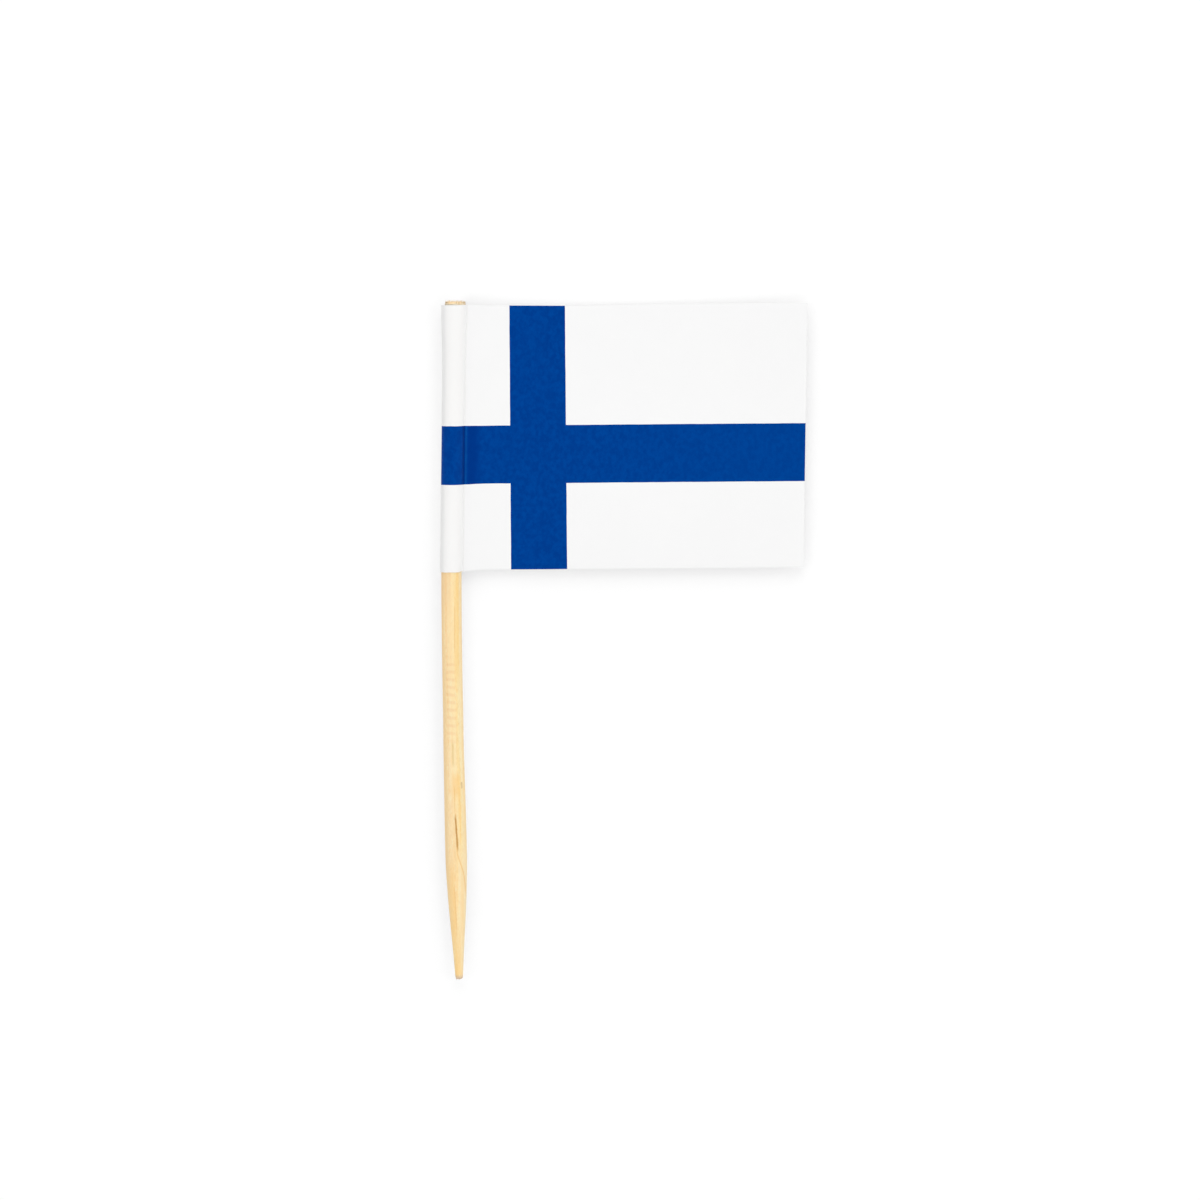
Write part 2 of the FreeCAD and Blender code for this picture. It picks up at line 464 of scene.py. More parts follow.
stick_sizes = {
    "Sides": 81,
    "Bow start": point_start - straight_length,
    "Bow length": bow_length,
    "Bow radius": bow_radius,
    "Relief": 0.035 * mm,
    "Waist": 0.008,
    "Swell": 0.07,
    "Crook": 0.17 * mm,
    "End wear": 0.05 * mm,
    "Turn": turn_at_flag - sleeve_lean,
    "Seat": bow_seat,
    "Seed": 4.0,
    "Finish": birch,
}
stick_tree, given, made = new_tree(
    "turned and bowed stick",
    "GeometryNodeTree",
    {"Half profile": "Geometry"} | sorts_of(stick_sizes),
    {"Stick": "Geometry"},
)
tree = stick_tree
rings = out(tree, "GeometryNodeAttributeDomainSize", {0: given["Half profile"]})
grid = out(tree, "GeometryNodeMeshGrid", {0: 1.0, 1: 1.0, 2: given["Sides"], 3: rings})
across, up_grid, _ = sides_of(tree, point_places(tree))
ring = times(tree, reckon(tree, "ADD", up_grid, 0.5), less(tree, rings, 1.0))
drawn = out(
    tree,
    "GeometryNodeSampleIndex",
    {0: given["Half profile"], 1: point_places(tree), 2: reckon(tree, "ROUND", ring)},
    data_type="FLOAT_VECTOR",
)
distance, radius, _ = sides_of(tree, drawn)
angle = times(tree, reckon(tree, "ADD", across, 0.5), 2 * math.pi)
round_x = reckon(tree, "COSINE", angle)
round_z = reckon(tree, "SINE", angle)

# The cutters leave shallow furrows and flats along the stick
furrow_scale = (3.2, 90.0, 3.2)
furrow_place = place_of(tree, round_x, distance, round_z)
furrow_place = shift(tree, "MULTIPLY", furrow_place, furrow_scale)
furrows = less(tree, grain(tree, furrow_place, 3.0, 0.6, given["Seed"]), 0.5)
furrows = times(tree, furrows, given["Relief"])
share_of_radius = reckon(tree, "DIVIDE", radius, pick_radius)
radius = reckon(tree, "MULTIPLY_ADD", furrows, share_of_radius, radius)

# The cutters took a little more off below the flag and left a little more before the point
waist = between(tree, distance, 26 * mm, 32 * mm, 35 * mm, 41 * mm)
waist = times(tree, waist, given["Waist"])
swell = between(tree, distance, 40 * mm, 52 * mm, 53 * mm, 57 * mm)
swell = times(tree, swell, given["Swell"])
radius = times(tree, radius, reckon(tree, "ADD", less(tree, swell, waist), 1.0))

# Both ends are rough, because the saw and the grindstone tear the fibres
section_x = times(tree, round_x, radius)
section_z = times(tree, round_z, radius)
torn_scale = (4200.0, 260.0, 4200.0)
end_place = place_of(tree, section_x, distance, section_z)
end_place = shift(tree, "MULTIPLY", end_place, torn_scale)
torn = grain(tree, end_place, 3.0, 0.6, given["Seed"])
near_head = eased(tree, distance, 0.12 * mm, 0.0)
near_tip = eased(tree, distance, pick_length - 0.3 * mm, pick_length)
at_ends = less(tree, near_head, near_tip)
wear = times(tree, torn, given["End wear"], at_ends)
worn_distance = reckon(tree, "ADD", distance, wear)
straight_place = place_of(tree, section_x, worn_distance, section_z)
shaped = with_place(tree, grid, "stick_place", straight_place)

# Past the straight shank the centre line turns, and beyond the bow it runs on straight
run = less(tree, given["Bow start"], worn_distance)
bent_run = out(tree, "ShaderNodeClamp", {0: run, 1: 0.0, 2: given["Bow length"]})
rest_of_run = less(tree, run, bent_run)
turn = reckon(tree, "DIVIDE", bent_run, given["Bow radius"])
side_step = eased(tree, distance, 33 * mm, 12 * mm, 0.0, 0.6)
side_step = less(tree, side_step, eased(tree, distance, 39 * mm, 43 * mm, 0.0, 0.2))
crooked_x = reckon(tree, "MULTIPLY_ADD", side_step, given["Crook"], section_x)
outward = place_of(tree, crooked_x, rest_of_run, section_z)
outward = turned_about(tree, "Z", outward, times(tree, turn, -1.0))
half_turn = reckon(tree, "SINE", times(tree, turn, 0.5))
bow_x = times(tree, half_turn, half_turn, 2.0, given["Bow radius"])
bow_y = times(tree, reckon(tree, "SINE", turn), given["Bow radius"])
bowed = shift(tree, "ADD", outward, place_of(tree, bow_x, bow_y))
laid = shift(tree, "ADD", turned_about(tree, "Z", bowed, given["Turn"]), given["Seat"])
shaped = out(tree, "GeometryNodeSetPosition", {"Geometry": shaped, "Position": laid})
seam_width = 0.001 * mm
shaped = out(tree, "GeometryNodeMergeByDistance", {"Geometry": shaped, "Distance": seam_width})
tree.links.new(finished(tree, shaped, given["Finish"]), made["Stick"])

outline = [(*spot, 0) for spot in half_profile]
joins = [(step, step + 1) for step in range(len(outline) - 1)]
birch_stick = worked(raw_piece("birch_stick", outline, joins, []), stick_tree, stick_sizes)
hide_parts("pick")
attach(birch_stick, "root")


# Torn fibres of the same birch stand up from the sawn head, the ground tip and the planed
# side, where the cutters lifted them. Each is one thin sliver, still rooted in the stick.
fibre_sizes = {
    "Stick length": tip,
    "Length": 0.17 * mm,
    "Width": 0.015 * mm,
    "At the ends": 3.0e7,
    "On the side": 4.0e5,
    "Seed": 5,
    "Finish": birch,
}
torn_tree, given, made = new_tree(
    "torn fibres",
    "GeometryNodeTree",
    {"Stick": "Geometry"} | sorts_of(fibre_sizes),
    {"Fibres": "Geometry"},
)
tree = torn_tree
kept_place = {"Name": "stick_place"}
stick_place = out(tree, "GeometryNodeInputNamedAttribute", kept_place, data_type="FLOAT_VECTOR")
_, from_head, above = sides_of(tree, stick_place)
head_share = eased(tree, from_head, 0.22 * mm, 0.0)
tip_begin = less(tree, given["Stick length"], 0.35 * mm)
tip_share = eased(tree, from_head, tip_begin, given["Stick length"])
ends = times(tree, reckon(tree, "MAXIMUM", head_share, tip_share), given["At the ends"])
past_flag = eased(tree, from_head, 27 * mm, 29 * mm)
bare_side = times(tree, past_flag, eased(tree, above, 0.2 * mm, 0.5 * mm))
density = reckon(tree, "MULTIPLY_ADD", bare_side, given["On the side"], ends)
strewn = put(
    tree,
    "GeometryNodeDistributePointsOnFaces",
    {"Mesh": given["Stick"], "Density": density, "Seed": given["Seed"]},
    distribute_method="RANDOM",
)
leaning = out(
    tree,
    "FunctionNodeRandomValue",
    {0: (-0.5, -0.8, -0.4), 1: (0.5, 0.8, 0.4), "Seed": given["Seed"]},
    data_type="FLOAT_VECTOR",
)
at_head = reckon(tree, "GREATER_THAN", 1 * mm, from_head)
growing = shift(tree, "MULTIPLY_ADD", strewn.outputs["Normal"], (0.5, 0.5, 0.5), leaning)
along_stick = reckon(tree, "MULTIPLY_ADD", at_head, 4.4, -2.4)
growing = shift(tree, "ADD", growing, place_of(tree, 0.0, along_stick))
turned = out(tree, "FunctionNodeAlignRotationToVector", {"Vector": growing}, axis="Z")
sliver = out(
    tree,
    "GeometryNodeMeshCone",
    {"Vertices": 4, "Side Segments": 2, "Radius Top": 0.0, "Radius Bottom": given["Width"],
     "Depth": given["Length"]},
)
lengths = put(
    tree,
    "FunctionNodeRandomValue",
    {2: 0.35, 3: 1.25, "Seed": given["Seed"]},
    data_type="FLOAT",
).outputs[1]
spread = out(
    tree,
    "GeometryNodeInstanceOnPoints",
    {"Points": strewn.outputs["Points"], "Instance": sliver, "Rotation": turned,
     "Scale": place_of(tree, 1.0, 1.6, lengths)},
)
tree.links.new(finished(tree, spread, given["Finish"]), made["Fibres"])

torn_fibres = bpy.data.objects.new("torn_fibres", birch_stick.data.copy())
scene.collection.objects.link(torn_fibres)
worked(torn_fibres, torn_tree, fibre_sizes)
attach(torn_fibres, "root")


# The paper is one strip, printed on one face, cut, and folded round the stick so that its
# two leaves meet back to back with a film of white glue. The strip is made flat here, with
# the printed face up, and the same folding tree then bends the paper and the ink.
ink_depth = 0.02 * mm
flag_length = 35.0 * mm
fold_angle = math.radians(15.0)
fold_radius = 0.08 * mm
leaf_curl_radius = 150.0 * mm
bar_below_top = 11.5 * mm
level_bar_width = 5.55 * mm
bar_from_hoist = 6.65 * mm
upright_bar_width = 5.3 * mm
edge_burr = 0.006 * mm

bend_radius = fold_radius + paper_thickness / 2
sleeve_mid_radius = sleeve_radius - paper_thickness / 2
leaf_start = (
    sleeve_radius + fold_radius - (paper_thickness + fold_radius) * math.sin(fold_angle)
) / math.cos(fold_angle)
tangent_height = leaf_curl_radius - sleeve_radius + paper_thickness
lie_angle = math.acos(tangent_height / math.hypot(leaf_curl_radius, leaf_start))
lie_angle -= math.atan2(leaf_start, leaf_curl_radius)
leaf_reach = flag_length - sleeve_radius - leaf_start * math.cos(lie_angle)
leaf_turn = lie_angle + math.asin(leaf_reach / leaf_curl_radius - math.sin(lie_angle))

fold_length = bend_radius * (math.pi / 2 - fold_angle)
flank_foot = (
    leaf_start - bend_radius * math.sin(math.pi / 2 - fold_angle),
    paper_thickness + fold_radius - bend_radius * math.sin(fold_angle),
)
flank_top = (sleeve_mid_radius * math.cos(fold_angle), sleeve_mid_radius * math.sin(fold_angle))
flank_length = math.dist(flank_foot, flank_top)
wrap_length = sleeve_mid_radius * 2 * (math.pi - fold_angle)
lower_leaf_length = (leaf_curl_radius + paper_thickness / 2) * leaf_turn
upper_leaf_length = (leaf_curl_radius - paper_thickness / 2) * leaf_turn
fold_lines = [lower_leaf_length]
for stretch_length in (fold_length, flank_length, wrap_length, flank_length, fold_length):
    fold_lines.append(fold_lines[-1] + stretch_length)
blank_length = fold_lines[-1] + upper_leaf_length


def along_leaf(seen_x, seen_y, side):
    """How far from the fold a line that is seen from above at this place lies on a leaf."""
    radius = leaf_curl_radius - side * paper_thickness / 2
    plan_x = (seen_x - seen_y * math.tan(sleeve_lean)) * math.cos(sleeve_lean)
    turn = 0.0
    closer_steps = 6
    for _ in range(closer_steps):
        rise = leaf_curl_radius - radius * math.cos(turn)
        reach = (plan_x - rise * math.sin(lie_angle)) / math.cos(lie_angle)
        turn = math.asin((reach - leaf_start) / radius)
    return radius * turn


def divided(begin, end, count):
    return [begin + (end - begin) * step / count for step in range(count)]


bar_left = bar_from_hoist - sleeve_radius
bar_right = bar_left + upright_bar_width
bar_top = flag_height / 2 - bar_below_top
bar_bottom = bar_top - level_bar_width
bar_widening = 0.08 * mm
bar_taper = 0.06 * mm
short_trim = 0.05 * mm
hollow_trim = 0.1 * mm
hollow_at = 11.0 * mm
hollow_reach = 6.0 * mm
sleeve_trim = 0.09 * mm
sleeve_trim_reach = 0.8 * mm
rim = 0.07 * mm
same_line = 1e-9
rows = [-flag_height / 2]
rows += divided(-flag_height / 2 + rim, bar_bottom, 20)
rows += divided(bar_bottom, bar_top, 14)
rows += divided(bar_top, flag_height / 2 - rim, 28)
rows += [flag_height / 2 - rim, flag_height / 2]

# Each column is a share of the way between two lines that run up the blank
line_steps = (54, 13, 10, 8, 6, 64, 6, 8, 10, 13, 54)
rim_share = 0.003
columns = []
for stretch, count in enumerate(line_steps):
    columns += [(stretch, share) for share in divided(0, 1, count)]
columns.insert(1, (0, rim_share))
columns += [(10, 1 - rim_share), (10, 1.0)]
printed_stretches = (1, 9)
printed_rows = [bar_bottom - same_line < low < bar_top - same_line for low in rows[:-1]]

press = random.Random(11)
tremor = [(press.uniform(0, 7), press.uniform(0.6, 1.5)) for _ in range(6)]
tremor_height = 0.008 * mm


def waver(place):
    """The small unevenness of a printed edge."""
    wave = 0.0
    for number, (phase, rate) in enumerate(tremor):
        wave += math.sin(place / mm * rate * (number + 1) + phase) / (number + 2)
    return wave * tremor_height


def lines_up(seen_y):
    """Where the lines that run up the blank cross one row."""
    left = bar_left + bar_taper * (0.5 + seen_y / flag_height)
    right = bar_right + bar_widening
    lower = [lower_leaf_length - along_leaf(x, seen_y, -1) for x in (right, left)]
    upper = [fold_lines[-1] + along_leaf(x, seen_y, 1) for x in (left, right)]
    uneven = [waver(seen_y + 0.03 * number) for number in range(4)]
    lower = [line + shake for line, shake in zip(lower, uneven)]
    upper = [line + shake for line, shake in zip(upper, uneven[2:])]
    return [short_trim] + lower + fold_lines + upper + [blank_length - short_trim]


def trimmed(x, y):
    """The top edge was cut a little hollow over the upright bar and over the sleeve."""
    from_fold = max(fold_lines[0] - x, x - fold_lines[-1], 0.0)
    hollow = hollow_trim * math.exp(-((from_fold - hollow_at) / hollow_reach) ** 2)
    hollow += sleeve_trim * math.exp(-(from_fold / sleeve_trim_reach) ** 2)
    share = max(0.0, (y - bar_top) / (flag_height / 2 - bar_top))
    return y - hollow * share


blank_points = []
for row, y in enumerate(rows):
    lines = lines_up(y)
    level = []
    for stretch, share in columns:
        x = lines[stretch] + (lines[stretch + 1] - lines[stretch]) * share
        on_bar_edge = min(abs(y - bar_top), abs(y - bar_bottom)) < same_line
        uneven = waver(x + y) if on_bar_edge else 0.0
        level.append((x, trimmed(x, y) + uneven))
    blank_points.append(level)

face, under, back = "face", "under", "back"
half_sheet = paper_thickness / 2
heights = {face: half_sheet, under: half_sheet - ink_depth, back: -half_sheet}
last_row, last_column = len(rows) - 1, len(columns) - 1


def inked(row, column):
    inside = 0 <= row < last_row and 0 <= column < last_column
    return inside and (printed_rows[row] or columns[column][0] in printed_stretches)


def slab(name, cells, top, bottom):
    """A closed sheet over some cells of the blank, between two of its levels."""
    points, numbers, faces = [], {}, []

    def corner(row, column, level):
        key = (row, column, level)
        if key not in numbers:
            numbers[key] = len(points)
            x, y = blank_points[row][column]
            z = heights[level]
            if row in (0, last_row) or column in (0, last_column):
                z -= math.copysign(edge_burr, z) if level != under else 0
            points.append((x, y, z))
        return numbers[key]

    for row, column in sorted(cells):
        high, low = top(row, column), bottom(row, column)
        ring = [(row, column), (row, column + 1), (row + 1, column + 1), (row + 1, column)]
        faces.append([corner(r, c, high) for r, c in ring])
        faces.append([corner(r, c, low) for r, c in reversed(ring)])
        nexts = [(row - 1, column), (row, column + 1), (row + 1, column), (row, column - 1)]
        for side, beside in enumerate(nexts):
            first, second = ring[side], ring[(side + 1) % 4]
            levels = [high, low]
            if beside in cells:
                levels = [high, top(*beside)]
                if heights[levels[1]] >= heights[levels[0]]:
                    continue
            elif high == face and low == back:
                levels = [face, under, back]
            for upper_level, lower_level in zip(levels, levels[1:]):
                faces.append([
                    corner(*first, upper_level),
                    corner(*first, lower_level),
                    corner(*second, lower_level),
                    corner(*second, upper_level),
                ])
    return raw_piece(name, points, [], faces)


whole_blank = {(row, column) for row in range(last_row) for column in range(last_column)}
printed_cells = {cell for cell in whole_blank if inked(*cell)}

# The folding tree draws the line that the middle of the paper takes round the stick, from
# the free edge of the lower leaf to that of the upper leaf, and lays the flat sheet on it
folding = {
    "Paper thickness": paper_thickness,
    "Sleeve radius": sleeve_radius,
    "Fold angle": fold_angle,
    "Fold radius": fold_radius,
    "Leaf start": leaf_start,
    "Leaf turn": leaf_turn,
    "Leaf curl": leaf_curl_radius,
    "Lie angle": lie_angle,
    "Sleeve lean": sleeve_lean,
    "Seat": sleeve_middle,
    "Wet stretch": 0.0135,
    "Hug": 0.06,
    "Crook": 0.05 * mm,
    "Low edge height": 0.95 * mm,
    "Cockle": 0.06 * mm,
    "Seed": 2.6,
}
fold_tree, given, made = new_tree(
    "folded round the stick",
    "GeometryNodeTree",
    {"Flat sheet": "Geometry"} | sorts_of(folding) | {"Finish": "Material"},
    {"Folded sheet": "Geometry"},
)
tree = fold_tree
half_thickness = times(tree, given["Paper thickness"], 0.5)
bend = reckon(tree, "ADD", given["Fold radius"], half_thickness)
bend_height = reckon(tree, "ADD", given["Fold radius"], given["Paper thickness"])
wrap = less(tree, given["Sleeve radius"], half_thickness)
fold_sweep = less(tree, math.pi / 2, given["Fold angle"])


def arc(radius, begin, sweep, centre, steps):
    """One bend of the fold line, in the section across the stick."""
    sizes = {"Resolution": steps, "Radius": radius, "Start Angle": begin, "Sweep Angle": sweep}
    drawn = out(tree, "GeometryNodeCurveArc", sizes, mode="RADIUS")
    return out(tree, "GeometryNodeTransform", {"Geometry": drawn, "Translation": centre})


def on_circle(centre_x, centre_y, radius, angle):
    x = reckon(tree, "MULTIPLY_ADD", reckon(tree, "COSINE", angle), radius, centre_x)
    y = reckon(tree, "MULTIPLY_ADD", reckon(tree, "SINE", angle), radius, centre_y)
    return place_of(tree, x, y)


def straight(first, last):
    return out(tree, "GeometryNodeCurvePrimitiveLine", {"Start": first, "End": last})


def minus(value):
    return times(tree, value, -1.0)


curl_centre = place_of(tree, given["Leaf start"], given["Leaf curl"])
lower_start = less(tree, given["Leaf turn"], math.pi / 2)
lower_radius = reckon(tree, "ADD", given["Leaf curl"], half_thickness)
upper_radius = less(tree, given["Leaf curl"], half_thickness)
under_bend = place_of(tree, given["Leaf start"], minus(bend_height))
over_bend = place_of(tree, given["Leaf start"], bend_height)
foot_angle = reckon(tree, "ADD", math.pi / 2, fold_sweep)
under_foot = on_circle(given["Leaf start"], minus(bend_height), bend, foot_angle)
over_foot = on_circle(given["Leaf start"], bend_height, bend, minus(foot_angle))
under_top = on_circle(0.0, 0.0, wrap, minus(given["Fold angle"]))
over_top = on_circle(0.0, 0.0, wrap, given["Fold angle"])
wrap_sweep = less(tree, times(tree, given["Fold angle"], 2.0), 2 * math.pi)
fold_line = [
    arc(lower_radius, lower_start, minus(given["Leaf turn"]), curl_centre, 60),
    arc(bend, math.pi / 2, fold_sweep, under_bend, 24),
    straight(under_foot, under_top),
    arc(wrap, minus(given["Fold angle"]), wrap_sweep, (0.0, 0.0, 0.0), 192),
    straight(over_top, over_foot),
    arc(bend, minus(foot_angle), fold_sweep, over_bend, 24),
    arc(upper_radius, -math.pi / 2, given["Leaf turn"], curl_centre, 60),
]
whole_line = tree.nodes.new("GeometryNodeJoinGeometry")
for stretch_of_line in reversed(fold_line):
    tree.links.new(stretch_of_line, whole_line.inputs[0])

flat_x, flat_y, flat_z = sides_of(tree, point_places(tree))
sheet = with_place(tree, given["Flat sheet"], "blank_place", point_places(tree))
followed = put(
    tree,
    "GeometryNodeSampleCurve",
    {"Curves": whole_line.outputs[0], "Length": flat_x},
    mode="LENGTH",
    use_all_curves=True,
)
line_x, line_y, _ = sides_of(tree, followed.outputs["Position"])
ahead_x, ahead_y, _ = sides_of(tree, followed.outputs["Tangent"])
section_x = less(tree, line_x, times(tree, ahead_y, flat_z))
section_z = reckon(tree, "MULTIPLY_ADD", ahead_x, flat_z, line_y)


def lying(x, z):
    """The section as it lies on the table, turned about the stick."""
    return sides_of(tree, turned_about(tree, "Y", place_of(tree, x, 0.0, z), given["Lie angle"]))


lying_x, _, lying_z = lying(section_x, section_z)
glued_x = reckon(tree, "MULTIPLY_ADD", ahead_y, half_thickness, line_x)
glued_z = less(tree, line_y, times(tree, ahead_x, half_thickness))
_, _, glued_height = lying(glued_x, glued_z)

# Paper that was wet with glue stays longer; it hugs the crooked stick and gapes at the head
near_stick = eased(tree, lying_x, 2.9 * mm, 1.2 * mm)
stretched = reckon(tree, "MULTIPLY_ADD", near_stick, given["Wet stretch"], 1.0)
seen_y = times(tree, flat_y, stretched)
hugs = times(tree, eased(tree, flat_y, 12 * mm, 6 * mm), near_stick)
gapes = times(tree, eased(tree, flat_y, 8 * mm, 12.5 * mm), near_stick)
fit = times(tree, less(tree, gapes, hugs), given["Hug"])
fit = reckon(tree, "ADD", fit, 1.0)
pushed = reckon(tree, "MULTIPLY_ADD", gapes, 0.42, hugs)
hugged_x = times(tree, lying_x, fit)
hugged_x = reckon(tree, "MULTIPLY_ADD", pushed, given["Crook"], hugged_x)
drawn_in = less(tree, 1.0, times(tree, hugs, given["Hug"]))
hugged_z = times(tree, lying_z, drawn_in)

# The curl runs out towards the low edge, which stays clear of the table, and the leaf cockles
on_leaf = eased(tree, lying_x, 1.5 * mm, 9.0 * mm)
low_edge = eased(tree, flat_y, 9 * mm, -12 * mm, 0.25, 1.0)
level = less(tree, given["Low edge height"], given["Sleeve radius"])
lift = less(tree, level, glued_height)
lift = times(tree, lift, low_edge, on_leaf)
cockle_scale = (75.0, 110.0, 0.0)
cockle_place = shift(tree, "MULTIPLY", place_of(tree, lying_x, flat_y), cockle_scale)
cockle = grain(tree, cockle_place, 2.0, 0.45, given["Seed"])
cockle = times(tree, cockle, on_leaf, given["Cockle"])
folded_z = reckon(tree, "ADD", hugged_z, reckon(tree, "ADD", lift, cockle))
lean_x = reckon(tree, "DIVIDE", hugged_x, reckon(tree, "COSINE", given["Sleeve lean"]))
lean_x = reckon(tree, "MULTIPLY_ADD", flat_y, reckon(tree, "TANGENT", given["Sleeve lean"]), lean_x)
folded_place = shift(tree, "ADD", place_of(tree, lean_x, seen_y, folded_z), given["Seat"])
folded = out(tree, "GeometryNodeSetPosition", {"Geometry": sheet, "Position": folded_place})
tree.links.new(finished(tree, folded, given["Finish"]), made["Folded sheet"])

# White paper: faint clouds and fibres in the sheet, a satin coat, a duller line along each
# fold, a breath of the wood's colour where the sheet lies on the stick, and a painted shade
# of grey down the left round of the sleeve, the side turned from the brighter lamps
white_paper, tree, shader = new_finish("white_paper", 0.5, 0.25)
place = own_place(tree, "blank_place")
half_blank = blank_length / mm / 2
half_wrap = wrap_length / mm / 2
half_fold = (fold_lines[5] - fold_lines[0]) / mm / 2


def across_blank(tree, place):
    """How far a place lies from the middle of the blank, and past the nearer fold, in mm."""
    along_blank, _, _ = sides_of(tree, place)
    from_middle = reckon(tree, "ABSOLUTE", less(tree, along_blank, half_blank))
    return from_middle, less(tree, from_middle, half_fold)


def set_pulp(tree, shader, place, height):
    """The paper's own fine relief, which also shows through the ink."""
    pulp = grouped(tree, fibre_tree, Place=place, Across=14.0, Along=9.0, Seed=1.7)
    set_relief(tree, shader, pulp["Streaks"], height, 0.8)


pulp_clouds = grouped(tree, fibre_tree, Place=place, Across=1.6, Along=1.1, Seed=5.2)
cloudy = eased(tree, pulp_clouds["Clouds"], 0.35, 0.65)
colour = blended(tree, cloudy, (0.926, 0.926, 0.926, 1), (0.932, 0.932, 0.931, 1))
from_middle, from_fold = across_blank(tree, place)
over_wood = eased(tree, from_middle, half_wrap + 0.3, half_wrap - 0.6, 0.0, 0.5)
colour = blended(tree, over_wood, colour, (0.945, 0.935, 0.915, 1))
# Painted shade: the paper greys down the left round of the sleeve, the side turned from the lamps
painted_shade_on_sleeve_side = eased(tree, from_middle, 1.05, 0.55, 0.0, 0.75)
colour = blended(tree, painted_shade_on_sleeve_side, colour, (0.845, 0.845, 0.84, 1))
line_at_fold = grouped(tree, wear_tree, Place=place, From_line=from_fold, Width=0.12, Seed=7.3)["Mask"]
colour = blended(tree, times(tree, line_at_fold, 0.35), colour, (0.80, 0.79, 0.76, 1))
tree.links.new(colour, shader.inputs["Base Color"])
dull = reckon(tree, "MULTIPLY_ADD", pulp_clouds["Streaks"], 0.2, 0.42)
tree.links.new(dull, shader.inputs["Roughness"])
set_pulp(tree, shader, place, 0.006 * mm)

paper = worked(
    slab("folded_paper", whole_blank, lambda r, c: under if inked(r, c) else face, lambda r, c: back),
    fold_tree,
    folding | {"Finish": white_paper},
)
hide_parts("paper_flag")
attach(paper, "root")


# The blue cross is one film of offset ink, printed on the outer face of the flat strip, so
# it shows on both leaves and its level bar runs round the sleeve. It soaks into the coating
# and lies heavier on the leaf beside the fold. In the crease and on the sleeve's flank next to
# it the ink is painted darker, as painted shade, and just past the fold it is lighter in a
# fine ragged line.
blue_ink, tree, shader = new_finish("blue_ink", 0.4, 0.02)
shader.inputs["Specular Tint"].default_value = (0.45, 0.68, 1.0, 1)
place = own_place(tree, "blank_place")
lay = grouped(tree, fibre_tree, Place=place, Across=2.6, Along=2.1, Seed=6.6)
full_lay = eased(tree, lay["Streaks"], 0.34, 0.66)
colour = blended(tree, full_lay, (0.0, 0.043, 0.262, 1), (0.0, 0.057, 0.312, 1))
_, from_fold = across_blank(tree, place)
heavy = times(tree, between(tree, from_fold, 0.15, 0.5, 0.9, 1.7), 0.85)
colour = blended(tree, heavy, colour, (0.0, 0.034, 0.235, 1))
# Painted shade: the ink is darker in the crease and on the sleeve's flank beside it
painted_crease_shade = times(tree, between(tree, from_fold, -0.75, -0.4, 0.0, 0.12), 0.85)
colour = blended(tree, painted_crease_shade, colour, (0.0, 0.027, 0.19, 1))
to_fly = eased(tree, from_fold, 8.0, 32.0, 0, 0.35)
colour = blended(tree, to_fly, colour, (0.0, 0.056, 0.295, 1))
# A lighter fine ragged line in the ink, just past the fold
from_light_line = less(tree, from_fold, 0.17)
line_at_fold = grouped(tree, wear_tree, Place=place, From_line=from_light_line, Width=0.13, Seed=7.3)["Mask"]
colour = blended(tree, times(tree, line_at_fold, 0.4), colour, (0.006, 0.095, 0.34, 1))
coloured(tree, shader, colour, 0.9)
set_pulp(tree, shader, place, 0.005 * mm)

ink = worked(
    slab("printed_cross", printed_cells, lambda r, c: face, lambda r, c: under),
    fold_tree,
    folding | {"Finish": blue_ink},
)
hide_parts("cross_print")
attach(ink, "root")


# White wood glue was squeezed out of the sleeve at both ends and dried to a clear, uneven
# bead between the stick and the paper. It starts where the paper ends and hugs the wood.
bead_radius = 0.055 * mm
bead_steps = 160
glue, tree, shader = new_finish("dry_glue", 0.28, 0.4)
place = own_place(tree, "bead_place")
cloudy = grouped(tree, fibre_tree, Place=place, Across=3.1, Along=3.1, Seed=9.1)
milky = eased(tree, cloudy["Streaks"], 0.35, 0.65)
colour = blended(tree, milky, (0.80, 0.63, 0.40, 1), (0.90, 0.82, 0.66, 1))
coloured(tree, shader, colour, 0.9)
dull = reckon(tree, "MULTIPLY_ADD", cloudy["Streaks"], 0.35, 0.15)
tree.links.new(dull, shader.inputs["Roughness"])
set_relief(tree, shader, cloudy["Clouds"], 0.01 * mm, 0.6)

bead_tree, given, made = new_tree(
    "dried glue bead",
    "GeometryNodeTree",
    {
        "Ring": "Geometry",
        "Bead radius": "Float",
        "Unevenness": "Float",
        "Seed": "Float",
        "Finish": "Material",
    },
    {"Bead": "Geometry"},
)
tree = bead_tree
ring = with_place(tree, given["Ring"], "bead_place", point_places(tree))
line = out(tree, "GeometryNodeMeshToCurve", {0: ring})
bead_scale = (2600.0,) * 3
bead_spot = shift(tree, "MULTIPLY", point_places(tree), bead_scale)
thick = grain(tree, bead_spot, 2.0, 0.6, given["Seed"])
thick = reckon(tree, "MULTIPLY_ADD", less(tree, thick, 0.5), given["Unevenness"], 1.0)
thick = times(tree, thick, given["Bead radius"])
round_wire = out(tree, "GeometryNodeCurvePrimitiveCircle", {"Resolution": 10, "Radius": 1.0})
sweep = {"Curve": line, "Profile Curve": round_wire, "Scale": thick}
swept = out(tree, "GeometryNodeCurveToMesh", sweep)
tree.links.new(finished(tree, swept, given["Finish"]), made["Bead"])

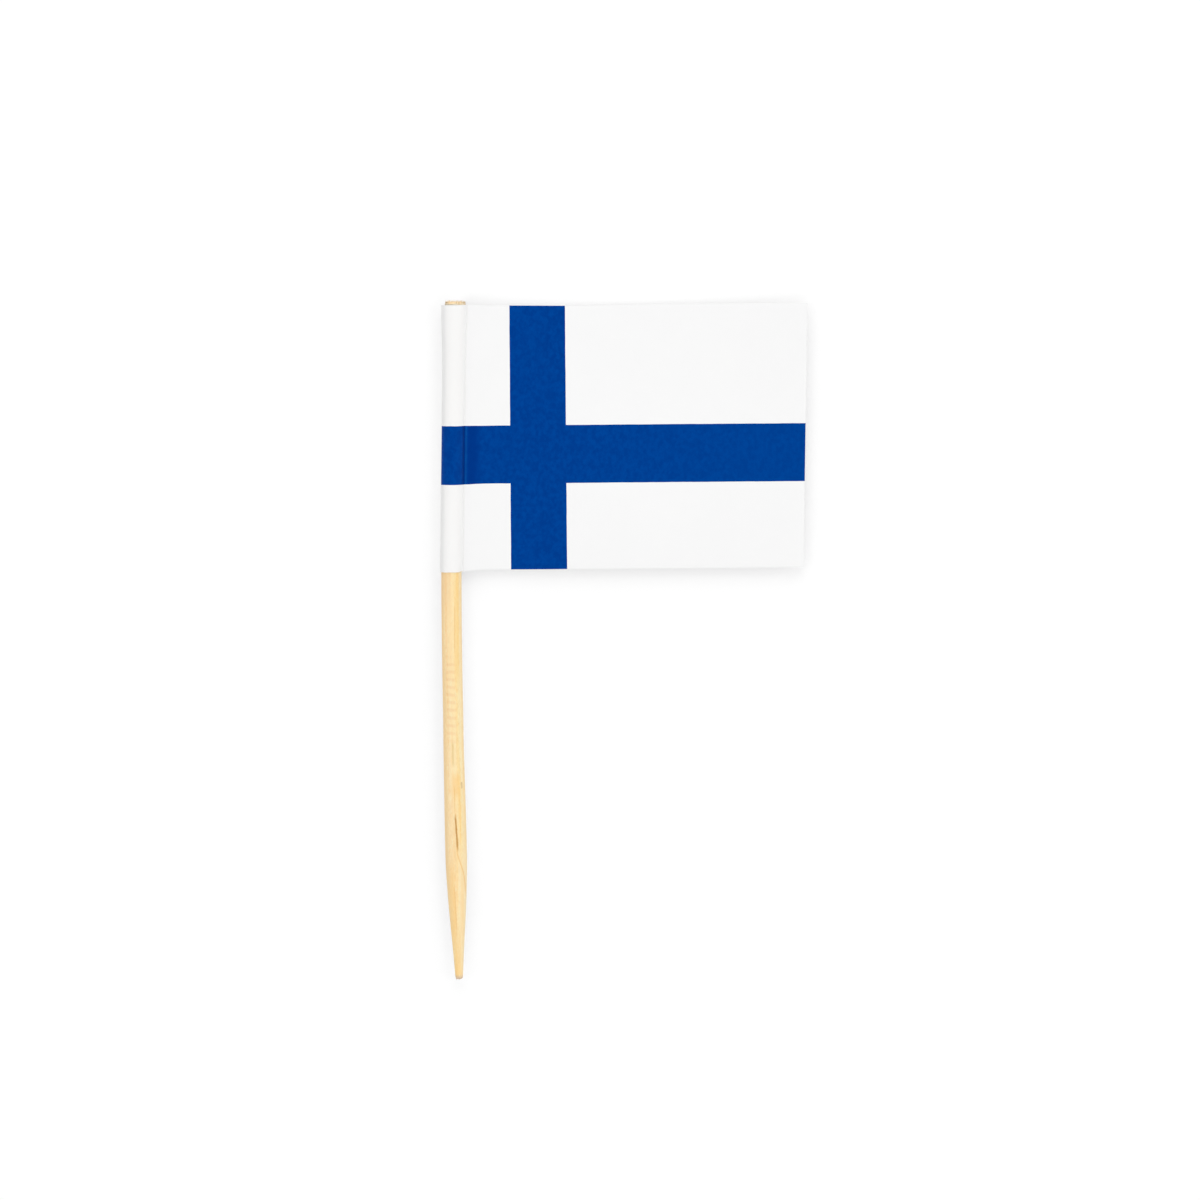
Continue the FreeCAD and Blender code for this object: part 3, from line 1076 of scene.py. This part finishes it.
beyond_paper = 1.012
for name, end, push in (("glue_bead_low", -1, 0.125 * mm), ("glue_bead_head", 1, 0.15 * mm)):
    end_y = end * flag_height / 2 * beyond_paper
    ring = []
    for step in range(bead_steps):
        turn = 2 * math.pi * step / bead_steps
        spot = Vector((pick_radius * math.cos(turn) + push, end_y, pick_radius * math.sin(turn)))
        spot.x += end_y * math.tan(sleeve_lean)
        ring.append(spot + sleeve_middle)
    bead = worked(
        raw_piece(name, ring, [(step, (step + 1) % bead_steps) for step in range(bead_steps)], []),
        bead_tree,
        {"Bead radius": bead_radius, "Unevenness": 1.6, "Seed": 3.0 + end, "Finish": glue},
    )
    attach(bead, "root")


# The table is a plain white sheet, larger than what can be seen. The lens sees it lit up to
# the white of the backdrop, and it keeps the soft shadow that the part casts.
table_half = 1.5
corners = ((-1, -1), (1, -1), (1, 1), (-1, 1))
table_points = [(x * table_half, y * table_half, 0) for x, y in corners]
table = raw_piece("table", table_points, [], [(0, 1, 2, 3)])
table_white = bpy.data.materials.new("table_white")
table_white.use_nodes = True
tree = table_white.node_tree
tree.nodes.clear()


def seen_directly(tree):
    """1 where the lens looks at a surface, also through a shine or a clear thing."""
    ray = put(tree, "ShaderNodeLightPath").outputs
    seen = reckon(tree, "MAXIMUM", ray["Is Camera Ray"], ray["Is Glossy Ray"])
    return reckon(tree, "MAXIMUM", seen, ray["Is Transmission Ray"])


sheet_grey = (0.8, 0.8, 0.8, 1)
seen_grey = (0.56, 0.56, 0.56, 1)
glow_strength = 0.465
lit = out(tree, "ShaderNodeBsdfDiffuse", {"Color": sheet_grey})
dim_lit = out(tree, "ShaderNodeBsdfDiffuse", {"Color": seen_grey})
glow = out(tree, "ShaderNodeEmission", {"Color": (1, 1, 1, 1), "Strength": glow_strength})
seen_table = out(tree, "ShaderNodeAddShader", {0: dim_lit, 1: glow})
surface = out(tree, "ShaderNodeMixShader", {0: seen_directly(tree), 1: lit, 2: seen_table})
put(tree, "ShaderNodeOutputMaterial", {"Surface": surface})
table.data.materials.append(table_white)


# The light is a tent of four soft boxes round the lens, the strongest beyond the head of
# the pick, and a weak even fill. The backdrop is white to the camera.
box_side = 0.6
box_away = 0.6
soft_boxes = {
    "box_beyond_head": (90, 31, 2.16),
    "box_right": (0, 36, 1.35),
    "box_left": (180, 35, 1.12),
    "box_beyond_tip": (270, 34, 1.27),
}
for name, (azimuth, elevation, power) in soft_boxes.items():
    lamp = bpy.data.lights.new(name, "AREA")
    lamp.energy = power
    lamp.size = box_side
    around, above = math.radians(azimuth), math.radians(elevation)
    level = math.cos(above)
    facing = Vector((level * math.cos(around), level * math.sin(around), math.sin(above)))
    box = bpy.data.objects.new(name, lamp)
    box.location = facing * box_away
    box.rotation_euler = facing.to_track_quat("Z", "Y").to_euler()
    scene.collection.objects.link(box)

world = bpy.data.worlds.new("backdrop")
scene.world = world
world.use_nodes = True
tree = world.node_tree
fill_light = 0.31
strength = reckon(tree, "MULTIPLY_ADD", seen_directly(tree), 1 - fill_light, fill_light)
backdrop = tree.nodes["Background"].inputs
tree.links.new(strength, backdrop["Strength"])
backdrop["Color"].default_value = (1, 1, 1, 1)


# The camera looks nearly straight down through a long lens, leaning a few degrees from
# beyond the head, and the part lies turned by half a degree in its picture.
image_side = 1200
image_width = 115.3 * mm
origin_in_image = (624.8, 638.0)
camera_away = 600.0 * mm
camera_tilt = math.radians(3.6)
camera_roll = math.radians(0.47)
sensor = 36.0

backward = Vector((0, math.sin(camera_tilt), math.cos(camera_tilt)))
plain_up = Vector((0, math.cos(camera_tilt), -math.sin(camera_tilt)))
plain_right = Vector((1, 0, 0))
right = plain_right * math.cos(camera_roll) - plain_up * math.sin(camera_roll)
upward = plain_right * math.sin(camera_roll) + plain_up * math.cos(camera_roll)
scale = image_width / image_side
aim = Vector((0, 0, 0))
aim -= right * (origin_in_image[0] - image_side / 2) * scale
aim -= upward * (image_side / 2 - origin_in_image[1]) * scale

lens = bpy.data.cameras.new("camera")
lens.sensor_width = sensor
lens.lens = sensor * camera_away / image_width
lens.clip_start = 0.01
camera = bpy.data.objects.new("camera", lens)
turned = Matrix((right, upward, backward)).transposed().to_4x4()
camera.matrix_world = Matrix.Translation(aim + backward * camera_away) @ turned
scene.collection.objects.link(camera)
scene.camera = camera
scene.view_settings.view_transform = "Standard"
